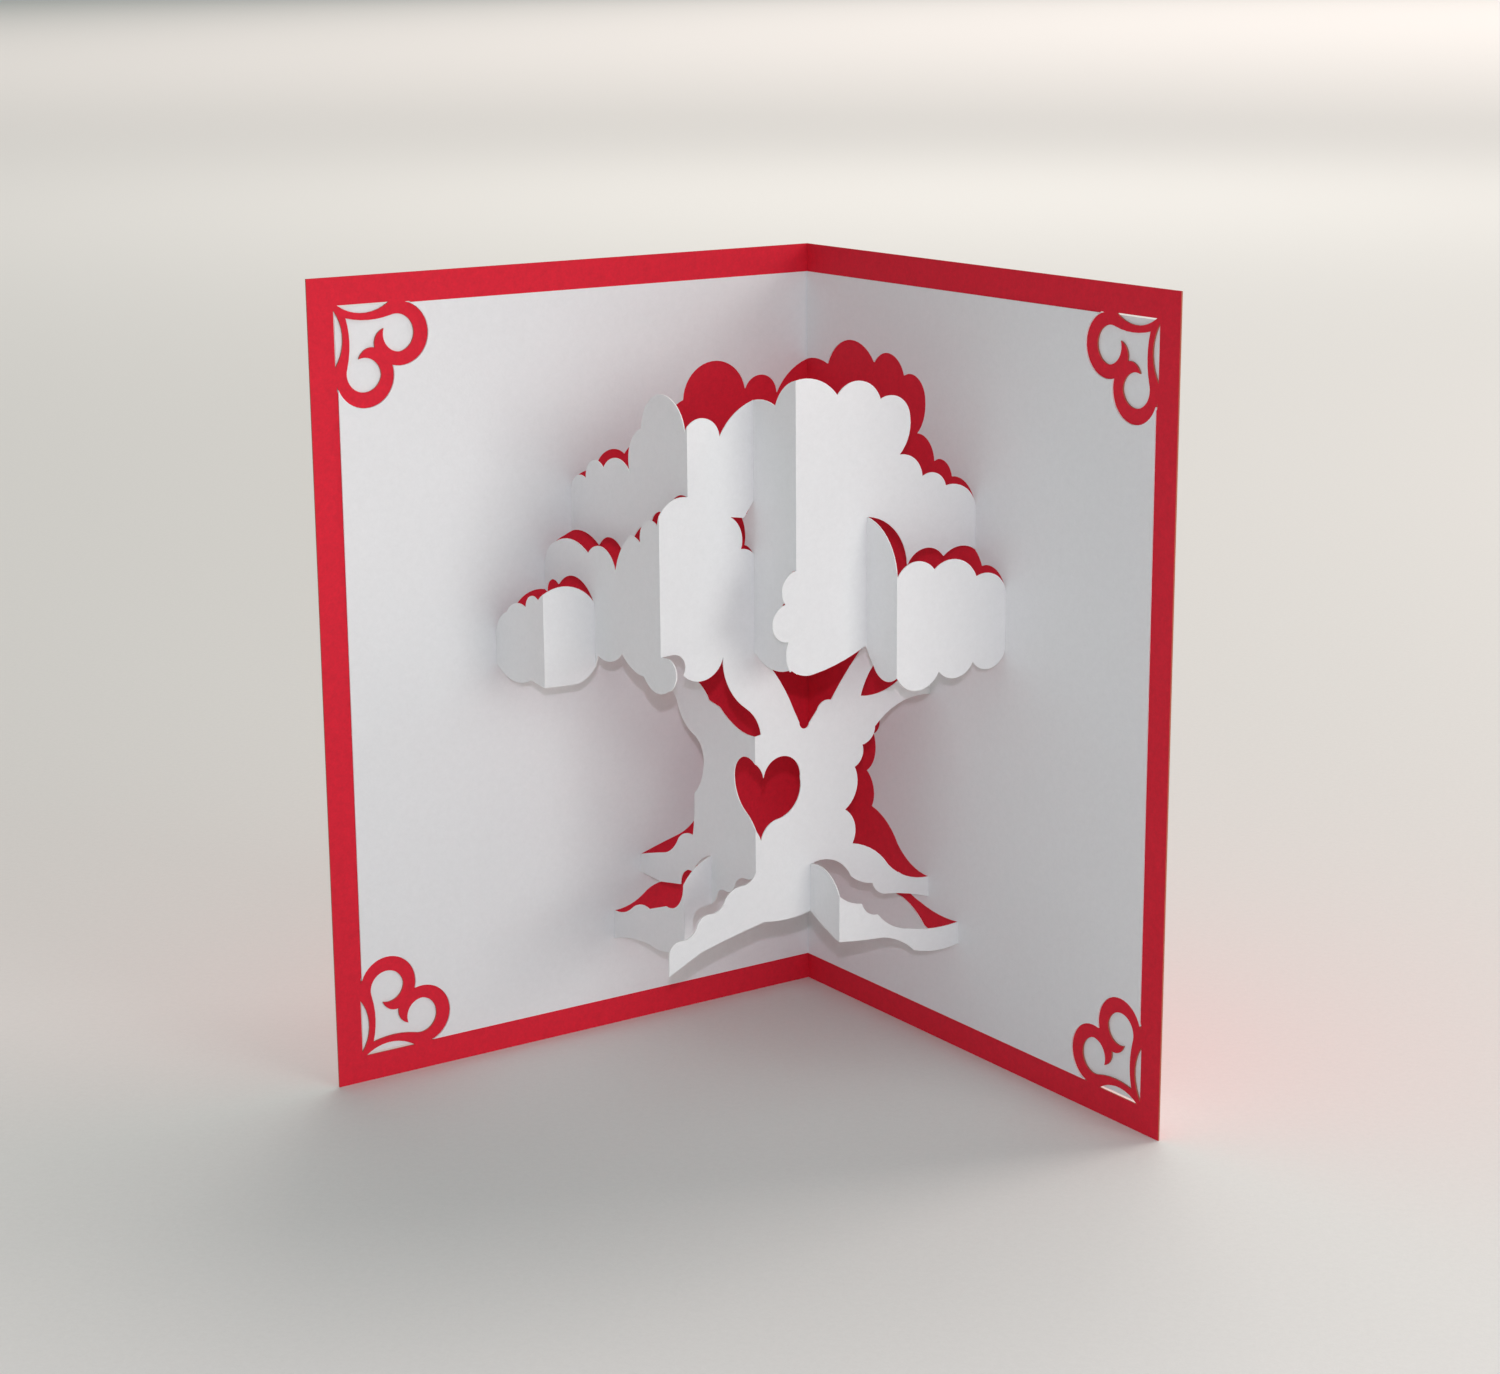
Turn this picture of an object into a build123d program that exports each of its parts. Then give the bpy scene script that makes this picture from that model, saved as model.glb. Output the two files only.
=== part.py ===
from build123d import *
import os

# A pop-up greeting card, opened to a right angle and standing on its lower edges.
# It is two folded sheets: a cover of coloured card, and an insert of white paper
# whose four corners are tucked through heart-shaped slits in the cover. A tree is
# cut and folded out of the insert itself, so nothing is glued on: every part of the
# tree stands parallel to one page or the other, at the depth where its folds put it.
#
# All outlines are drawn on the sheet while it lies flat. There u is the distance to
# the right of the centre fold and v is the height above the card's lower edge.
# A facet parallel to the left page keeps its distance from that page, one parallel
# to the right page keeps its distance from the right page, and a point of the sheet
# is always at u = (distance from the left page) - (distance from the right page).

# Sheets, in millimetres
page_width = 127.0
page_height = 177.8
cover_thickness = 0.35
insert_thickness = 0.25
insert_margin = 6.35
sheet_gap = 0.05

# Height of the tree, which stands in the middle of the page
tree_height = 136.6

# Depth of the trunk from both pages, and how far each part of the tree steps out past
# the one behind it. A front or a depth without a step is from the page itself.
trunk_depth = 47.6
crown_left_step = 16.6
crown_right_step = 15.7
bough_step = 7.2
low_bough_step = 12.8
low_bough_front = 21.0
spray_step = 10.7
spray_depth = 29.3
left_root_step = 7.4
left_root_front = 30.0
right_root_step = 11.0
right_root_depth = 33.0

# Heart-shaped corner holds, from the corner of the cut in the cover
corner_clearance = 0.4
lobe_far = 15.2
lobe_near = 6.8
lobe_radius = 6.8
slit_end_clearance = 0.2

half_paper = insert_thickness / 2
tree_low = (page_height - tree_height) / 2

# Depths of the facets of the tree, from the page that each is parallel to
crown_left_depth = trunk_depth + crown_left_step
crown_right_depth = trunk_depth + crown_right_step
bough_depth = crown_left_depth + bough_step
low_bough_depth = bough_depth + low_bough_step
spray_front = crown_right_depth + spray_step
left_root_depth = trunk_depth + left_root_step
right_root_front = trunk_depth + right_root_step

# Folds of the insert, as places across the flat sheet
crown_left_fold = trunk_depth - crown_left_depth
crown_right_fold = crown_right_depth - trunk_depth
bough_fold = trunk_depth - bough_depth
low_bough_fold = low_bough_front - low_bough_depth
low_bough_valley = low_bough_front - bough_depth
spray_valley = crown_right_depth - spray_depth
spray_fold = spray_front - spray_depth
left_root_fold = left_root_front - left_root_depth
left_root_valley = left_root_front - trunk_depth
right_root_valley = trunk_depth - right_root_depth
right_root_fold = right_root_front - right_root_depth


def across(left, right, steps):
    """Steps of an outline in hundredths: across, of the way from one fold to another,
    and upwards, of the height of the tree. So an outline follows its folds."""
    scaled = []
    for step in steps:
        places = [left + (right - left) * part / 100 for part in step[::2]]
        heights = [tree_low + tree_height * part / 100 for part in step[1::2]]
        scaled.append(tuple(number for point in zip(places, heights) for number in point))
    return scaled


def edges(start, steps):
    """Lines and arcs from a start: a step of two numbers is a straight line to
    that point, and one of four is an arc through the first point to the second."""
    drawn = []
    for step in steps:
        end = step[-2:]
        if len(step) == 4:
            drawn.append(ThreePointArc(start, step[:2], end))
        else:
            drawn.append(Line(start, end))
        start = end
    return drawn


def area(outline):
    """The area inside an outline, closed by a straight line if it ends elsewhere."""
    start, steps = outline[0], outline[1:]
    closing = [] if steps[-1][-2:] == start else [start]
    return make_face(edges(start, [*steps, *closing]))


def under(outline):
    """The area below an outline that runs from left to right, from fold to fold.
    It reaches half a thickness past each, so that facets meet in a whole corner."""
    start, end = outline[0], outline[-1][-2:]
    left, right = start[0] - half_paper, end[0] + half_paper
    return area([*outline, (right, end[1]), (right, 0), (left, 0), (left, start[1])])


def strip(left, right):
    """A full-height strip of the sheet between two folds, which reaches as far."""
    width = right - left + 2 * half_paper
    return Pos((left + right) / 2, page_height / 2) * Rectangle(width, page_height)


# Upper edges of the foliage, from left to right, lobe by lobe
crown_top = [
    *across(-crown_left_depth, crown_left_fold, [(0, 77.5), (3.4, 80.2, 13.9, 80.5),
        (19.3, 83.7, 29.4, 83), (39.5, 85.1, 52.7, 83.2), (52.1, 87.1, 62.6, 90.8),
        (79.8, 96.8, 98.3, 91.7)]),
    *across(crown_left_fold, 0, [(25.3, 93.7, 48.2, 90.5)]),
    *across(0, crown_right_fold, [(-11.5, 95.2, 52.9, 95.5)]),
    *across(crown_right_fold, crown_right_depth, [(2.3, 100.1, 22.1, 97.1),
        (35.7, 98.9, 45.6, 95.8), (57.4, 95.5, 62, 92.5), (61.1, 89.5, 56.1, 86.8),
        (64.7, 85.9, 69.1, 82.9), (77.1, 83.2, 82.4, 81), (93.7, 80.3, 100, 76.4)]),
]
bough_top = [
    *across(-bough_depth, bough_fold, [(0, 65.8), (3.4, 69, 10.9, 70.7), (25.2, 71.8, 39.5, 70.3),
        (47.9, 72, 63, 68.4), (67.2, 72, 76.1, 75.2), (80.9, 75, 84.9, 74.2),
        (90.8, 78.3, 98.7, 77.8)]),
    *across(bough_fold, crown_left_fold, [(25, 81, 100, 81.8)]),
]
low_bough_top = [
    *across(-low_bough_depth, low_bough_fold, [(0, 55.4), (8.6, 58.7, 24.8, 60.3),
        (42.9, 62.2, 64.8, 62), (75.2, 64.2, 89.5, 63.8)]),
    *across(low_bough_fold, low_bough_valley, [(43.8, 65.9, 100, 62.5)]),
]
spray_top = [
    *across(spray_valley, spray_fold, [(0, 77.7), (70.1, 74.9, 100, 69.2)]),
    *across(spray_fold, spray_front, [(17.4, 71.5, 33.4, 69.8), (54.9, 70.9, 72, 67.7),
        (88.4, 67.7, 100, 63.7)]),
]

# Lower edge of all the foliage, from left to right
foliage_bottom = [
    *across(-low_bough_depth, low_bough_fold, [(0, 51.2), (32.4, 49.3, 72.4, 50.5)]),
    *across(low_bough_valley, bough_fold, [(-36, 49.9, -16, 49.9), (-4.5, 51.2, 4.5, 54.2),
        (24.1, 53.9, 42.1, 55.9), (57.1, 54, 75.2, 53.4)]),
    *across(bough_fold, 0, [(-7.6, 51.5, 11.8, 52.4), (18.9, 53, 23.1, 54),
        (42.9, 52.6, 65.5, 55.9), (100, 55.9)]),
    *across(0, crown_right_fold, [(53.5, 54, 91.7, 55.2)]),
    *across(crown_right_fold, spray_valley, [(7.1, 54.2, 23.5, 54.1), (61.7, 55.3, 97.8, 57.3)]),
    *across(spray_valley, spray_fold, [(29.9, 53.8), (65.4, 52.5, 100, 53.6)]),
    *across(spray_fold, spray_front, [(20.5, 51, 37.9, 53.5), (53.2, 52, 69.3, 54.1),
        (86.3, 52.6, 100, 55.5)]),
]

# Lobes and a leaf that keep to one facet's plane where they pass its fold
droop = area(across(bough_fold, 0, [(0, 57.4), (11.8, 57.5), (24.4, 56.1, 23.1, 54),
    (23.1, 43.5), (0, 43.5)]))
side_lobes = area(across(0, crown_right_fold, [(100, 70.8), (77.1, 68.5, 82.2, 65.7),
    (60.5, 62.7, 86.6, 59.8), (82.8, 57.1, 100, 53.7)]))
leaf = area(across(crown_left_fold, 0, [(100, 80.1), (84.3, 77.5), (63.9, 77.9),
    (79.5, 75.6, 79.5, 72.6), (90.4, 72.4, 100, 71.5)]))

# Roots that stand out, along their upper edges
left_root_top = [
    *across(-left_root_depth, left_root_fold, [(0, 5.1), (14.7, 5.6, 26.7, 7),
        (38, 8.3, 51.3, 8.3), (74.3, 10.1), (93.7, 11.7, 99.3, 15.1)]),
    *across(left_root_fold, left_root_valley, [(41.9, 17.8, 100, 19.3)]),
]
right_root_top = [
    *across(right_root_valley, right_root_fold, [(0, 19.2), (63.6, 18.8, 100, 15.7)]),
    *across(right_root_fold, right_root_front, [(9.1, 14.3, 18.2, 13.7), (23, 12, 31.5, 11.3),
        (42.4, 9, 57.6, 7.7), (78.5, 6.8, 100, 6.9)]),
]

# Trunk with its branches and all its roots: up the left side, down the right side,
# along the right root and back along the lower edges
tree_foot = area([
    *across(-trunk_depth, 0, [(0, 11), (0, 14.1), (10.5, 15.2, 20.2, 16.1),
        (29.4, 17.6, 34.9, 19.9), (39.9, 21.1, 47.5, 21.4), (48.7, 24, 49.2, 28.7),
        (55.3, 31.5, 57.6, 34.7), (55.5, 37.2, 50.6, 38.6), (40.3, 40.6, 34.9, 43.5),
        (23.9, 49.3, 18.1, 58.1)]),
    *across(0, trunk_depth, [(100, 58.1), (100, 44.1), (76.5, 42.7, 67.6, 40.3),
        (66, 38.7, 60.3, 37.6), (59.9, 35.4, 55.9, 34.1), (57.1, 30.5, 50.4, 27.2),
        (55.9, 24.6, 54.6, 21.2), (66, 19.6, 75.6, 16.3), (86.1, 13.7, 100, 12.7), (100, 9.2)]),
    *across(right_root_fold, right_root_front, [(49.1, 10.5, 31.5, 11.3)]),
    *right_root_top[4:],
    *across(right_root_fold, right_root_front, [(100, 3.2), (80, 2.9, 62.1, 3.8), (49.7, 6, 36.1, 7.2),
        (16.4, 7.6, 0, 8.1)]),
    *across(right_root_valley, right_root_fold, [(50.9, 9.4, 0, 11.3)]),
    *across(0, right_root_valley, [(57.5, 10.7, 15.1, 11.1)]),
    *across(left_root_fold, 0, [(72, 9.7, 41.6, 8.3), (8, 5.4), (0, 5.4)]),
    *across(-left_root_depth, left_root_fold, [(78.7, 2.5, 52, 2.1), (26.7, 1.7, 0, 0.1)]),
    *left_root_top[:5],
    *across(-left_root_depth, left_root_fold, [(87.3, 14.5, 82, 12), (54.7, 10.9)]),
])

# The root that reaches forward past the trunk's fold, and the branch that does so
front_root = area(across(left_root_fold, half_paper, [(100, 0), (100, 20.2),
    (93, 18.3, 84, 17.9), (76, 17.6, 67, 16.2), (61, 14.7, 52, 14.3), (45, 14.2, 38, 12.9),
    (32, 11.4, 22, 10.9), (14, 10.6, 8.8, 9.1), (8, 0)]))
centre_branch = area(across(-trunk_depth, half_paper, [(100, 43.1), (87.2, 44.7),
    (76.7, 50.1), (76.7, 58.1), (100, 58.1)]))

# Openings cut right out between the branches, and the heart in the trunk
left_gap = area([
    *across(0, trunk_depth, [(3.2, 42.3)]),
    *across(-trunk_depth, 0, [(94.5, 42, 86.1, 42.4), (77.7, 43.5, 71, 44.9), (62.2, 45.4),
        (57.1, 47.1, 52.5, 47.9), (50.8, 49.8, 55, 53), (61.6, 58.1), (82.8, 58.1), (82.8, 55.9),
        (84.5, 52, 95.4, 46.9)]),
    *across(0, trunk_depth, [(0.8, 44.8, 3.2, 42.3)]),
])
centre_gap = area(across(0, trunk_depth, [(27.3, 42), (25.4, 42.3, 24.4, 43.2), (21.2, 45.5),
    (15.5, 49.5, 4, 54.9), (4, 58.1), (70.6, 58.1), (70.6, 57.3), (55.9, 52.1, 42.4, 46),
    (37, 45.8, 34.5, 44.7), (30, 42.8), (29, 42.2, 27.3, 42)]))
right_gap = area(across(0, trunk_depth, [(59.2, 45.8), (64.3, 49.6, 78.2, 53.8),
    (78.2, 55.9), (93.7, 55.9), (93.7, 53), (81.1, 47.3, 59.2, 45.8)]))
trunk_heart = area([
    *across(0, trunk_depth, [(2.9, 24.7)]),
    *across(-trunk_depth, 0, [(98.3, 27.4, 92, 29.1), (84.9, 31.6, 82.8, 34.6)]),
    *across(0, trunk_depth, [(-11.8, 37.8, 4.4, 35.1), (16.4, 38.1, 24.8, 34.1),
        (21.8, 29.7, 11.3, 27.8), (5.5, 26.6, 2.9, 24.7)]),
])

# Waste cut from the left page behind the left gap, so that the gap shows the cover
left_waste = area(across(-trunk_depth, 0, [(60, 32.5), (45.4, 35.8), (38, 38.6), (32.4, 42.5),
    (33, 46), (62, 44)]))

foliage = under(crown_top) + under(bough_top) + under(low_bough_top) + under(spray_top)
foliage -= under(foliage_bottom)
wood = tree_foot - foliage - left_gap - centre_gap - right_gap - trunk_heart

# Facets of the foliage, each between two folds
crown_left_wall = (strip(-crown_left_depth, crown_left_fold) & foliage) - under(bough_top)
bough_wall = (strip(-bough_depth, bough_fold) & under(bough_top) & foliage) - under(low_bough_top)
bough_wall += droop & foliage
low_bough = under(low_bough_top) - under(foliage_bottom)
low_bough_wall = low_bough & strip(-low_bough_depth, low_bough_fold)
low_bough_face = low_bough & strip(low_bough_fold, low_bough_valley)
left_face = strip(crown_left_fold, 0) & foliage
left_face += strip(bough_fold, crown_left_fold) & under(bough_top) & foliage
left_face = left_face - droop - leaf
crown_wall = (strip(0, crown_right_fold) & foliage) - side_lobes + leaf
crown_face = (strip(crown_right_fold, crown_right_depth) & foliage) - under(spray_top)
crown_face += side_lobes & foliage
spray = under(spray_top) - under(foliage_bottom)
spray_wall = spray & strip(spray_valley, spray_fold)
spray_face = spray & strip(spray_fold, spray_front)

# Facets of the trunk and roots
left_root = (strip(-left_root_depth, left_root_valley) & under(left_root_top) & wood) - front_root
left_root_wall = left_root & strip(-left_root_depth, left_root_fold)
left_root_face = left_root & strip(left_root_fold, left_root_valley)
right_root = strip(right_root_valley, right_root_front) & under(right_root_top) & wood
right_root_wall = right_root & strip(right_root_valley, right_root_fold)
right_root_face = right_root & strip(right_root_fold, right_root_front)
trunk_wall = (strip(-trunk_depth, 0) & wood) - under(left_root_top) - front_root - centre_branch
trunk_face = (strip(0, trunk_depth) & wood) - under(right_root_top)
trunk_face += (front_root + centre_branch) & wood

# Pages open at a right angle, with the opening to the front
left_way = Vector(-1, -1, 0).normalized()
right_way = Vector(1, -1, 0).normalized()

# Each sheet's centre fold, as a distance from the inner faces of both cover pages.
# The insert lies inside the cover's fold, which takes a little off its pages' reach.
cover_fold = -cover_thickness / 2
insert_fold = sheet_gap + half_paper
insert_width = page_width - (insert_fold - cover_fold)


def beside_left(face, depth, thickness, fold):
    """A facet parallel to the left page, at a depth from it, of a sheet with that fold."""
    corner = (depth + fold) * (left_way + right_way)
    return Plane(corner, x_dir=-left_way, z_dir=right_way) * extrude(face, thickness / 2, both=True)


def beside_right(face, depth, thickness, fold):
    """A facet parallel to the right page, in the same way."""
    corner = (depth + fold) * (left_way + right_way)
    return Plane(corner, x_dir=right_way, z_dir=left_way) * extrude(face, thickness / 2, both=True)


# Corner holds, drawn for one corner with x inward and y down the page
hold = insert_margin - corner_clearance
hold_reach = lobe_far + lobe_radius
slit_width = insert_thickness + 2 * sheet_gap


def lobes(radius):
    """The two lobes of the heart with all that lies between them and the corner."""
    discs = Pos(lobe_far, -lobe_near) * Circle(radius) + Pos(lobe_near, -lobe_far) * Circle(radius)
    return discs + area([(-hold, hold), (lobe_far, hold), (lobe_far, -lobe_near), (lobe_near, -lobe_far),
        (-hold, -lobe_far)])


def pierced(outline):
    """A hole of the scroll, in hundredths of the hold's reach, and its mirror image
    across the diagonal of the corner."""
    hole = area([tuple(hold_reach * part / 100 for part in step) for step in outline])
    return hole + hole.mirror(Plane((0, 0, 0), x_dir=(1, -1, 0), z_dir=(1, 1, 0)))


half_heart = [(12.7, -12.7), (36.4, -15.9, 60.5, -12.7), (85, -31.4, 69.5, -48.6),
    (55.9, -42.3, 52.7, -25), (45, -30.5, 42.7, -42.7)]
sliver = [(4.1, 0), (29.5, -8.9, 59.1, 0)]
beyond_edge = corner_clearance - slit_end_clearance
quadrant_middle = page_width / 2 + beyond_edge
quadrant = Pos(quadrant_middle, -quadrant_middle) * Rectangle(page_width, page_width)
slit = (lobes(lobe_radius + slit_width) - lobes(lobe_radius)) & quadrant
scroll = pierced(half_heart) + pierced(sliver) + slit
tuck_edge = lobes(lobe_radius + sheet_gap)
tuck = lobes(lobe_radius + sheet_gap + insert_thickness)


def at_corners(shape, side, width):
    """A corner shape in the upper and lower corners of the left page (side -1) or
    the right page (side 1), which ends at a width from its sheet's fold."""
    turned = shape if side < 0 else shape.mirror(Plane.YZ)
    top = Pos(side * (width - hold), page_height - hold) * turned
    bottom = Pos(side * (width - hold), hold) * turned.mirror(Plane.XZ)
    return top + bottom


def page(side, width, margin, reach):
    """One page of a sheet, from its fold out, with the fold's corner."""
    outer = width - margin
    middle = side * (outer - reach) / 2
    return Pos(middle, page_height / 2) * Rectangle(outer + reach, page_height - 2 * margin)


# Cover: two pages with heart-shaped scrolls cut through their outer corners
left_cover = page(-1, page_width, 0, cover_thickness / 2) - at_corners(scroll, -1, page_width)
right_cover = page(1, page_width, 0, cover_thickness / 2) - at_corners(scroll, 1, page_width)
cover_card = beside_left(left_cover, 0, cover_thickness, cover_fold)
cover_card += beside_right(right_cover, 0, cover_thickness, cover_fold)

# Insert: pages, corners tucked behind the cover, and the tree
tree_hole = foliage + tree_foot + left_waste
behind = -(cover_thickness + 2 * sheet_gap + insert_thickness)


def insert_page(side, place):
    """One page of the insert, with its two corners passed through the slits."""
    outward = behind * (right_way if side < 0 else left_way)
    sheet = page(side, insert_width, insert_margin, half_paper)
    front = sheet - at_corners(tuck_edge, side, insert_width) - tree_hole
    front = place(front, 0, insert_thickness, insert_fold)
    corners = sheet & at_corners(tuck, side, insert_width)
    back = Pos(*outward) * place(corners, 0, insert_thickness, insert_fold)
    step = corners - at_corners(tuck_edge, side, insert_width)
    step = Pos(*(outward / 2)) * place(step, 0, insert_thickness - behind, insert_fold)
    return front + back + step


popup_insert = insert_page(-1, beside_left) + insert_page(1, beside_right)
left_facets = [
    (left_face + trunk_face, trunk_depth),
    (crown_face, crown_right_depth),
    (low_bough_face, low_bough_front),
    (spray_face, spray_front),
    (left_root_face, left_root_front),
    (right_root_face, right_root_front),
]
right_facets = [
    (crown_wall + trunk_wall, trunk_depth),
    (crown_left_wall, crown_left_depth),
    (bough_wall, bough_depth),
    (low_bough_wall, low_bough_depth),
    (spray_wall, spray_depth),
    (left_root_wall, left_root_depth),
    (right_root_wall, right_root_depth),
]
for face, depth in left_facets:
    popup_insert += beside_left(face, depth, insert_thickness, insert_fold)
for face, depth in right_facets:
    popup_insert += beside_right(face, depth, insert_thickness, insert_fold)

# Origin: middle of the card's box on the surface that it stands on
nodes = {"cover_card": cover_card, "popup_insert": popup_insert}
box = Compound(children=[Compound(cover_card.wrapped), Compound(popup_insert.wrapped)]).bounding_box()
middle = Pos(0, -(box.min.Y + box.max.Y) / 2, 0)

os.makedirs("parts", exist_ok=True)
for name, shape in nodes.items():
    placed = middle * shape
    export_step(placed, f"parts/{name}.step")
    print(name, len(placed.solids()), "solids", round(placed.volume, 1), "mm3")
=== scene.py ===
import bpy
from mathutils import Matrix, Vector

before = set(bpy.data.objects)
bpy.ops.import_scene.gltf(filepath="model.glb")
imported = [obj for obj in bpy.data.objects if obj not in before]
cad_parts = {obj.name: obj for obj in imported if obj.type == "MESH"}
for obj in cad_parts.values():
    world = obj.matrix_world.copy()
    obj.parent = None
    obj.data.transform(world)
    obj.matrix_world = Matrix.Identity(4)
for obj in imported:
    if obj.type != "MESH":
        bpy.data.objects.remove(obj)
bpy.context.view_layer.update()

# Floor: one wide sheet of matte, pale paper that the card stands on, as in a small
# tabletop studio. From the photograph's height its far edge lies out of view, above.
floor_reach = 30.0
floor_mesh = bpy.data.meshes.new("studio_floor")
floor_mesh.from_pydata(
    [(-floor_reach, -floor_reach, 0), (floor_reach, -floor_reach, 0),
     (floor_reach, floor_reach, 0), (-floor_reach, floor_reach, 0)],
    [], [(0, 1, 2, 3)])
studio_floor = bpy.data.objects.new("studio_floor", floor_mesh)
bpy.context.scene.collection.objects.link(studio_floor)

# Paper grain, which the floor's paper and both sheets of the card have: a felted mat
# of fibres, cloudy where the mat is thicker, with a fine tooth. Its inputs are the
# paper's colour, how strong the clouds are, and how high the tooth is in millimetres.
grain = bpy.data.node_groups.new("paper_grain", "ShaderNodeTree")
grain.interface.new_socket(name="Paper", in_out="INPUT", socket_type="NodeSocketColor")
grain.interface.new_socket(name="Cloud", in_out="INPUT", socket_type="NodeSocketFloat")
grain.interface.new_socket(name="Tooth", in_out="INPUT", socket_type="NodeSocketFloat")
grain.interface.new_socket(name="Colour", in_out="OUTPUT", socket_type="NodeSocketColor")
grain.interface.new_socket(name="Height", in_out="OUTPUT", socket_type="NodeSocketFloat")
grain_in = grain.nodes.new("NodeGroupInput")
grain_out = grain.nodes.new("NodeGroupOutput")


def sums(tree, operation, first, second):
    """A math node of a tree, for numbers or for sockets that other nodes put out."""
    node = tree.nodes.new("ShaderNodeMath")
    node.operation = operation
    for socket, value in zip(node.inputs, (first, second)):
        if isinstance(value, (int, float)):
            socket.default_value = value
        else:
            tree.links.new(value, socket)
    return node.outputs[0]


def noise(tree, scale, detail):
    """Noise on the piece's own coordinates, about one spot for each 1/scale metre."""
    place = tree.nodes.new("ShaderNodeTexCoord")
    node = tree.nodes.new("ShaderNodeTexNoise")
    node.inputs["Scale"].default_value = scale
    node.inputs["Detail"].default_value = detail
    tree.links.new(place.outputs["Object"], node.inputs["Vector"])
    return node.outputs["Fac"]


fibre_clouds = noise(grain, scale=700, detail=4)
fibres = noise(grain, scale=1900, detail=3)
unevenness = sums(grain, "SUBTRACT", sums(grain, "ADD", fibre_clouds, fibres), 1.0)
cloudiness = sums(grain, "MULTIPLY", unevenness, grain_in.outputs["Cloud"])
tinted = grain.nodes.new("ShaderNodeVectorMath")
tinted.operation = "SCALE"
grain.links.new(grain_in.outputs["Paper"], tinted.inputs[0])
grain.links.new(sums(grain, "ADD", cloudiness, 1.0), tinted.inputs["Scale"])
grain.links.new(tinted.outputs[0], grain_out.inputs["Colour"])
fibre_height = sums(grain, "MULTIPLY", fibres, grain_in.outputs["Tooth"])
grain.links.new(fibre_height, grain_out.inputs["Height"])


def paper(name, colour, cloud, tooth, roughness, specular):
    """A matte paper. It gives back the material, and the sockets of its colour and
    height, so that a piece can add its cut edges and its fold to them."""
    finish = bpy.data.materials.new(name)
    finish.use_nodes = True
    shader = finish.node_tree.nodes["Principled BSDF"]
    shader.inputs["Roughness"].default_value = roughness
    shader.inputs["Specular IOR Level"].default_value = specular
    texture = finish.node_tree.nodes.new("ShaderNodeGroup")
    texture.node_tree = grain
    texture.inputs["Paper"].default_value = (*colour, 1)
    texture.inputs["Cloud"].default_value = cloud
    texture.inputs["Tooth"].default_value = tooth
    return finish, texture.outputs["Colour"], texture.outputs["Height"]


def finished(finish, colour, height):
    """Leads a colour and a height in millimetres into a paper's shader."""
    tree = finish.node_tree
    shader = tree.nodes["Principled BSDF"]
    millimetre = 0.001
    bump = tree.nodes.new("ShaderNodeBump")
    bump.inputs["Distance"].default_value = millimetre
    tree.links.new(height, bump.inputs["Height"])
    tree.links.new(colour, shader.inputs["Base Color"])
    tree.links.new(bump.outputs["Normal"], shader.inputs["Normal"])


floor_paper, floor_colour, floor_height = paper(
    "floor_paper", (0.80, 0.79, 0.77), cloud=0.06, tooth=0.02, roughness=0.9, specular=0.2)
finished(floor_paper, floor_colour, floor_height)
floor_mesh.materials.append(floor_paper)

# Cover: one sheet of red cardstock, scored and folded once. Its outline and its four
# scrolls are knife-cut, and the cut edges show the browner core of the sheet.
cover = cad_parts["cover_card"]
red_card, red_colour, red_height = paper(
    "red_card", (0.76, 0.010, 0.034), cloud=0.24, tooth=0.02, roughness=0.75, specular=0.35)
red_nodes = red_card.node_tree

# Centre fold of both sheets: the score leaves a shallow groove there, and the paper's
# colour is darkened along it, a painted shade in the crease. The mask is 1 on the fold,
# and 0 on the folds of the tree in front of it, which are crisp.
fold = bpy.data.node_groups.new("fold_groove_and_painted_shade", "ShaderNodeTree")
fold.interface.new_socket(name="Width", in_out="INPUT", socket_type="NodeSocketFloat")
fold.interface.new_socket(name="Mask", in_out="OUTPUT", socket_type="NodeSocketFloat")
fold_in = fold.nodes.new("NodeGroupInput")
fold_out = fold.nodes.new("NodeGroupOutput")
fold_place = fold.nodes.new("ShaderNodeTexCoord")
fold_axes = fold.nodes.new("ShaderNodeSeparateXYZ")
fold.links.new(fold_place.outputs["Object"], fold_axes.inputs[0])
from_fold = sums(fold, "ABSOLUTE", fold_axes.outputs["X"], 0)
ragged = sums(fold, "MULTIPLY", noise(fold, scale=500, detail=3), 2.0)
band_width = sums(fold, "MULTIPLY", ragged, fold_in.outputs["Width"])
fold_mask = fold.nodes.new("ShaderNodeMapRange")
fold_mask.interpolation_type = "SMOOTHSTEP"
fold_mask.inputs["From Min"].default_value = 1.0
fold_mask.inputs["From Max"].default_value = 0.0
fold.links.new(sums(fold, "DIVIDE", from_fold, band_width), fold_mask.inputs["Value"])
back_of_tree = 0.03
behind_tree = sums(fold, "GREATER_THAN", fold_axes.outputs["Y"], back_of_tree)
centre_fold_mask = sums(fold, "MULTIPLY", fold_mask.outputs[0], behind_tree)
fold.links.new(centre_fold_mask, fold_out.inputs["Mask"])


def blended(tree, share, mask, base, other):
    """A base colour that turns into another colour by up to a share, where a mask is 1."""
    mix = tree.nodes.new("ShaderNodeMixRGB")
    mix.inputs["Color2"].default_value = (*other, 1)
    tree.links.new(sums(tree, "MULTIPLY", mask, share), mix.inputs["Fac"])
    tree.links.new(base, mix.inputs["Color1"])
    return mix.outputs["Color"]


def fold_grooved_and_shaded(tree, colour, height, width, share, depth, painted_shade_colour):
    """Adds painted shade along the fold to a paper's colour, and its groove to the paper's
    height.
    """
    fold_band = tree.nodes.new("ShaderNodeGroup")
    fold_band.node_tree = fold
    fold_band.inputs["Width"].default_value = width
    mask = fold_band.outputs["Mask"]
    groove = sums(tree, "MULTIPLY", mask, -depth)
    return blended(tree, share, mask, colour, painted_shade_colour), sums(tree, "ADD", height, groove)


# Painted shade: the red card is darkened along the centre fold.
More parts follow.
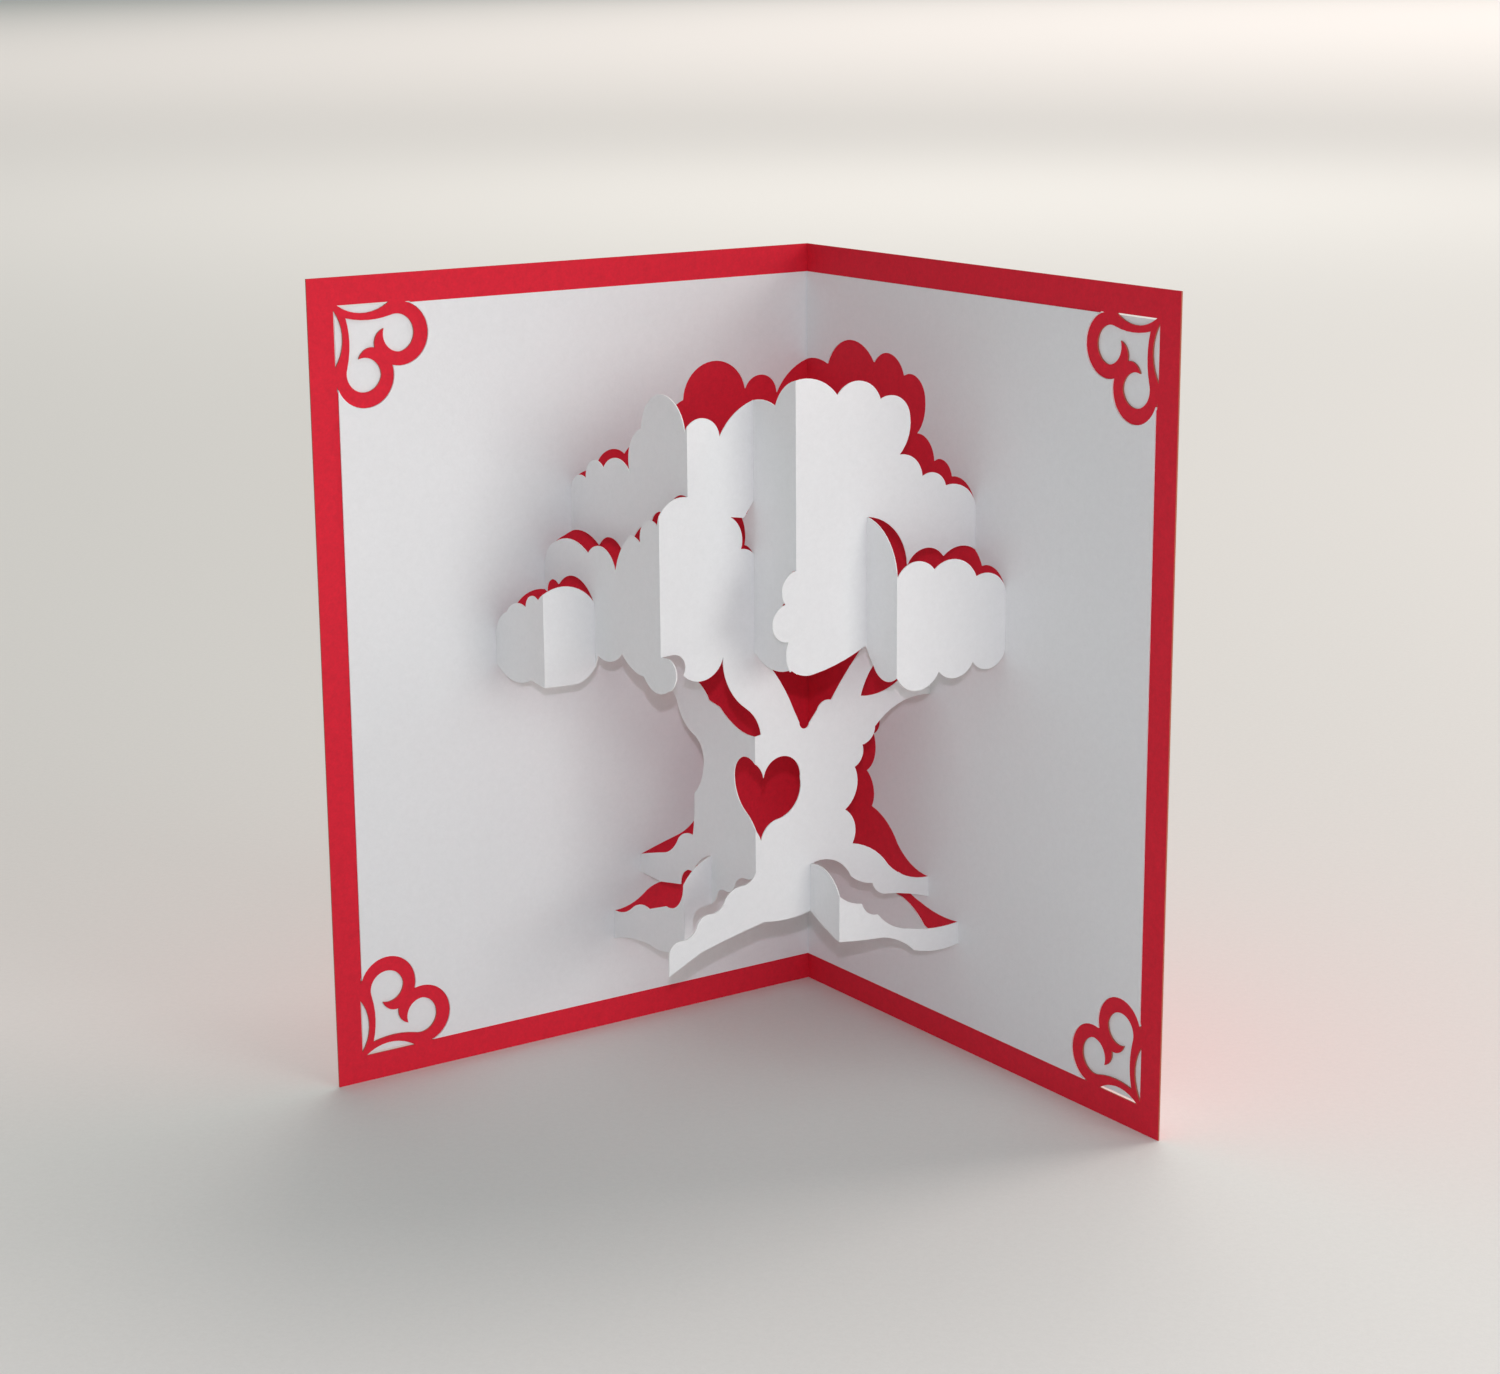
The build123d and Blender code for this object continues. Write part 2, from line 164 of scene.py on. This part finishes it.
red_colour, red_height = fold_grooved_and_shaded(
    red_nodes, red_colour, red_height, width=0.0005, share=0.12, depth=0.01,
    painted_shade_colour=(0.45, 0.010, 0.030))

# The cut edges are the faces of the sheet that don't face as its page does. The left
# page faces forward and right, and the right page forward and left. On a page's faces
# the two parts of the direction add up to the square root of 2, on a cut edge to less.
red_place = red_nodes.nodes.new("ShaderNodeTexCoord")
red_side = red_nodes.nodes.new("ShaderNodeSeparateXYZ")
red_facing = red_nodes.nodes.new("ShaderNodeSeparateXYZ")
red_nodes.links.new(red_place.outputs["Object"], red_side.inputs[0])
red_nodes.links.new(red_place.outputs["Normal"], red_facing.inputs[0])
side = sums(red_nodes, "SIGN", red_side.outputs["X"], 0)
forward = sums(red_nodes, "MULTIPLY", red_facing.outputs["Y"], side)
as_page = sums(
    red_nodes, "ABSOLUTE", sums(red_nodes, "ADD", red_facing.outputs["X"], forward), 0)
least_on_page = 1.2
red_cut = sums(red_nodes, "LESS_THAN", as_page, least_on_page)
red_colour = blended(red_nodes, 0.8, red_cut, red_colour, (0.40, 0.16, 0.09))
finished(red_card, red_colour, red_height)
cover.data.materials.clear()
cover.data.materials.append(red_card)

# Insert: one sheet of smooth white paper, cut and folded into the tree. Its corners
# are passed through the cover's slits, and nothing is glued.
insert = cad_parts["popup_insert"]
white_paper, white_colour, white_height = paper(
    "white_paper", (0.88, 0.88, 0.89), cloud=0.06, tooth=0.02, roughness=0.85, specular=0.4)
white_nodes = white_paper.node_tree
# Painted shade: the white paper turns blue-grey along the centre fold.
white_colour, white_height = fold_grooved_and_shaded(
    white_nodes, white_colour, white_height, width=0.0005, share=0.2, depth=0.01,
    painted_shade_colour=(0.74, 0.76, 0.80))

# Its cut edges, which face up or down somewhat, get a painted highlight: a brighter white
# that stands for the light they catch.
white_place = white_nodes.nodes.new("ShaderNodeTexCoord")
white_facing = white_nodes.nodes.new("ShaderNodeSeparateXYZ")
white_nodes.links.new(white_place.outputs["Normal"], white_facing.inputs[0])
up_or_down = sums(white_nodes, "ABSOLUTE", white_facing.outputs["Z"], 0)
most_on_facet = 0.1
painted_highlight_on_cuts = sums(white_nodes, "GREATER_THAN", up_or_down, most_on_facet)
# Painted highlight: brighter white on the cut edges that face up or down.
white_colour = blended(white_nodes, 0.9, painted_highlight_on_cuts, white_colour, (0.95, 0.95, 0.94))
finished(white_paper, white_colour, white_height)
insert.data.materials.clear()
insert.data.materials.append(white_paper)

# Camera: where the photograph was taken from, found from the card's twelve corners.
# The three directions are the picture's right, the picture's down, and the view's own.
camera_data = bpy.data.cameras.new("camera")
camera_data.sensor_width = 36
camera_data.lens = 71.57
camera = bpy.data.objects.new("camera", camera_data)
right = Vector((0.98235, 0.18692, -0.00666))
down = Vector((0.03820, -0.23538, -0.97115))
ahead = Vector((-0.18310, 0.95376, -0.23837))
turn = Matrix((right, -down, -ahead)).transposed().to_4x4()
camera.matrix_world = Matrix.Translation((0.1165, -0.6353, 0.2422)) @ turn
bpy.context.scene.collection.objects.link(camera)
bpy.context.scene.camera = camera


# Lights: a soft lamp from the right, like a window, and a small one just over the lens,
# which draws the thin shadows below the tree. Three more light the floor behind.
def lamp(name, place, target, size, watts, colour):
    """A rectangular area lamp at a place, turned towards a target."""
    data = bpy.data.lights.new(name, "AREA")
    data.shape = "RECTANGLE"
    data.size, data.size_y = size
    data.energy = watts
    data.color = colour
    piece = bpy.data.objects.new(name, data)
    piece.location = place
    direction = Vector(target) - Vector(place)
    piece.rotation_euler = direction.to_track_quat("-Z", "Y").to_euler()
    bpy.context.scene.collection.objects.link(piece)


lamp("window_light", place=(0.86, -0.54, 0.30), target=(0, 0, 0.07),
     size=(0.5, 0.4), watts=2.58, colour=(1.0, 0.98, 0.95))
lamp("lens_light", place=(0.118, -0.640, 0.288), target=(0, 0, 0.09),
     size=(0.008, 0.008), watts=0.74, colour=(0.93, 0.87, 1.0))
lamp("floor_light", place=(1.0, 0.65, 1.0), target=(0.50, 0.38, 0),
     size=(0.6, 0.6), watts=6.2, colour=(1.0, 0.87, 0.83))
lamp("back_light", place=(-0.1, 2.6, 1.3), target=(-0.2, 1.4, 0),
     size=(1.2, 0.6), watts=8.0, colour=(1.0, 0.95, 0.90))
lamp("ceiling_light", place=(4, 11, 5), target=(4, 11, 0),
     size=(16, 16), watts=1120, colour=(1.0, 0.88, 0.84))

# Room: the weak, slightly green light that comes from all sides and fills the shadows.
room = bpy.data.worlds.new("room")
room.use_nodes = True
sky = room.node_tree.nodes["Background"]
sky.inputs["Color"].default_value = (0.88, 1.0, 0.97, 1)
sky.inputs["Strength"].default_value = 0.345
bpy.context.scene.world = room
bpy.context.scene.view_settings.view_transform = "Standard"
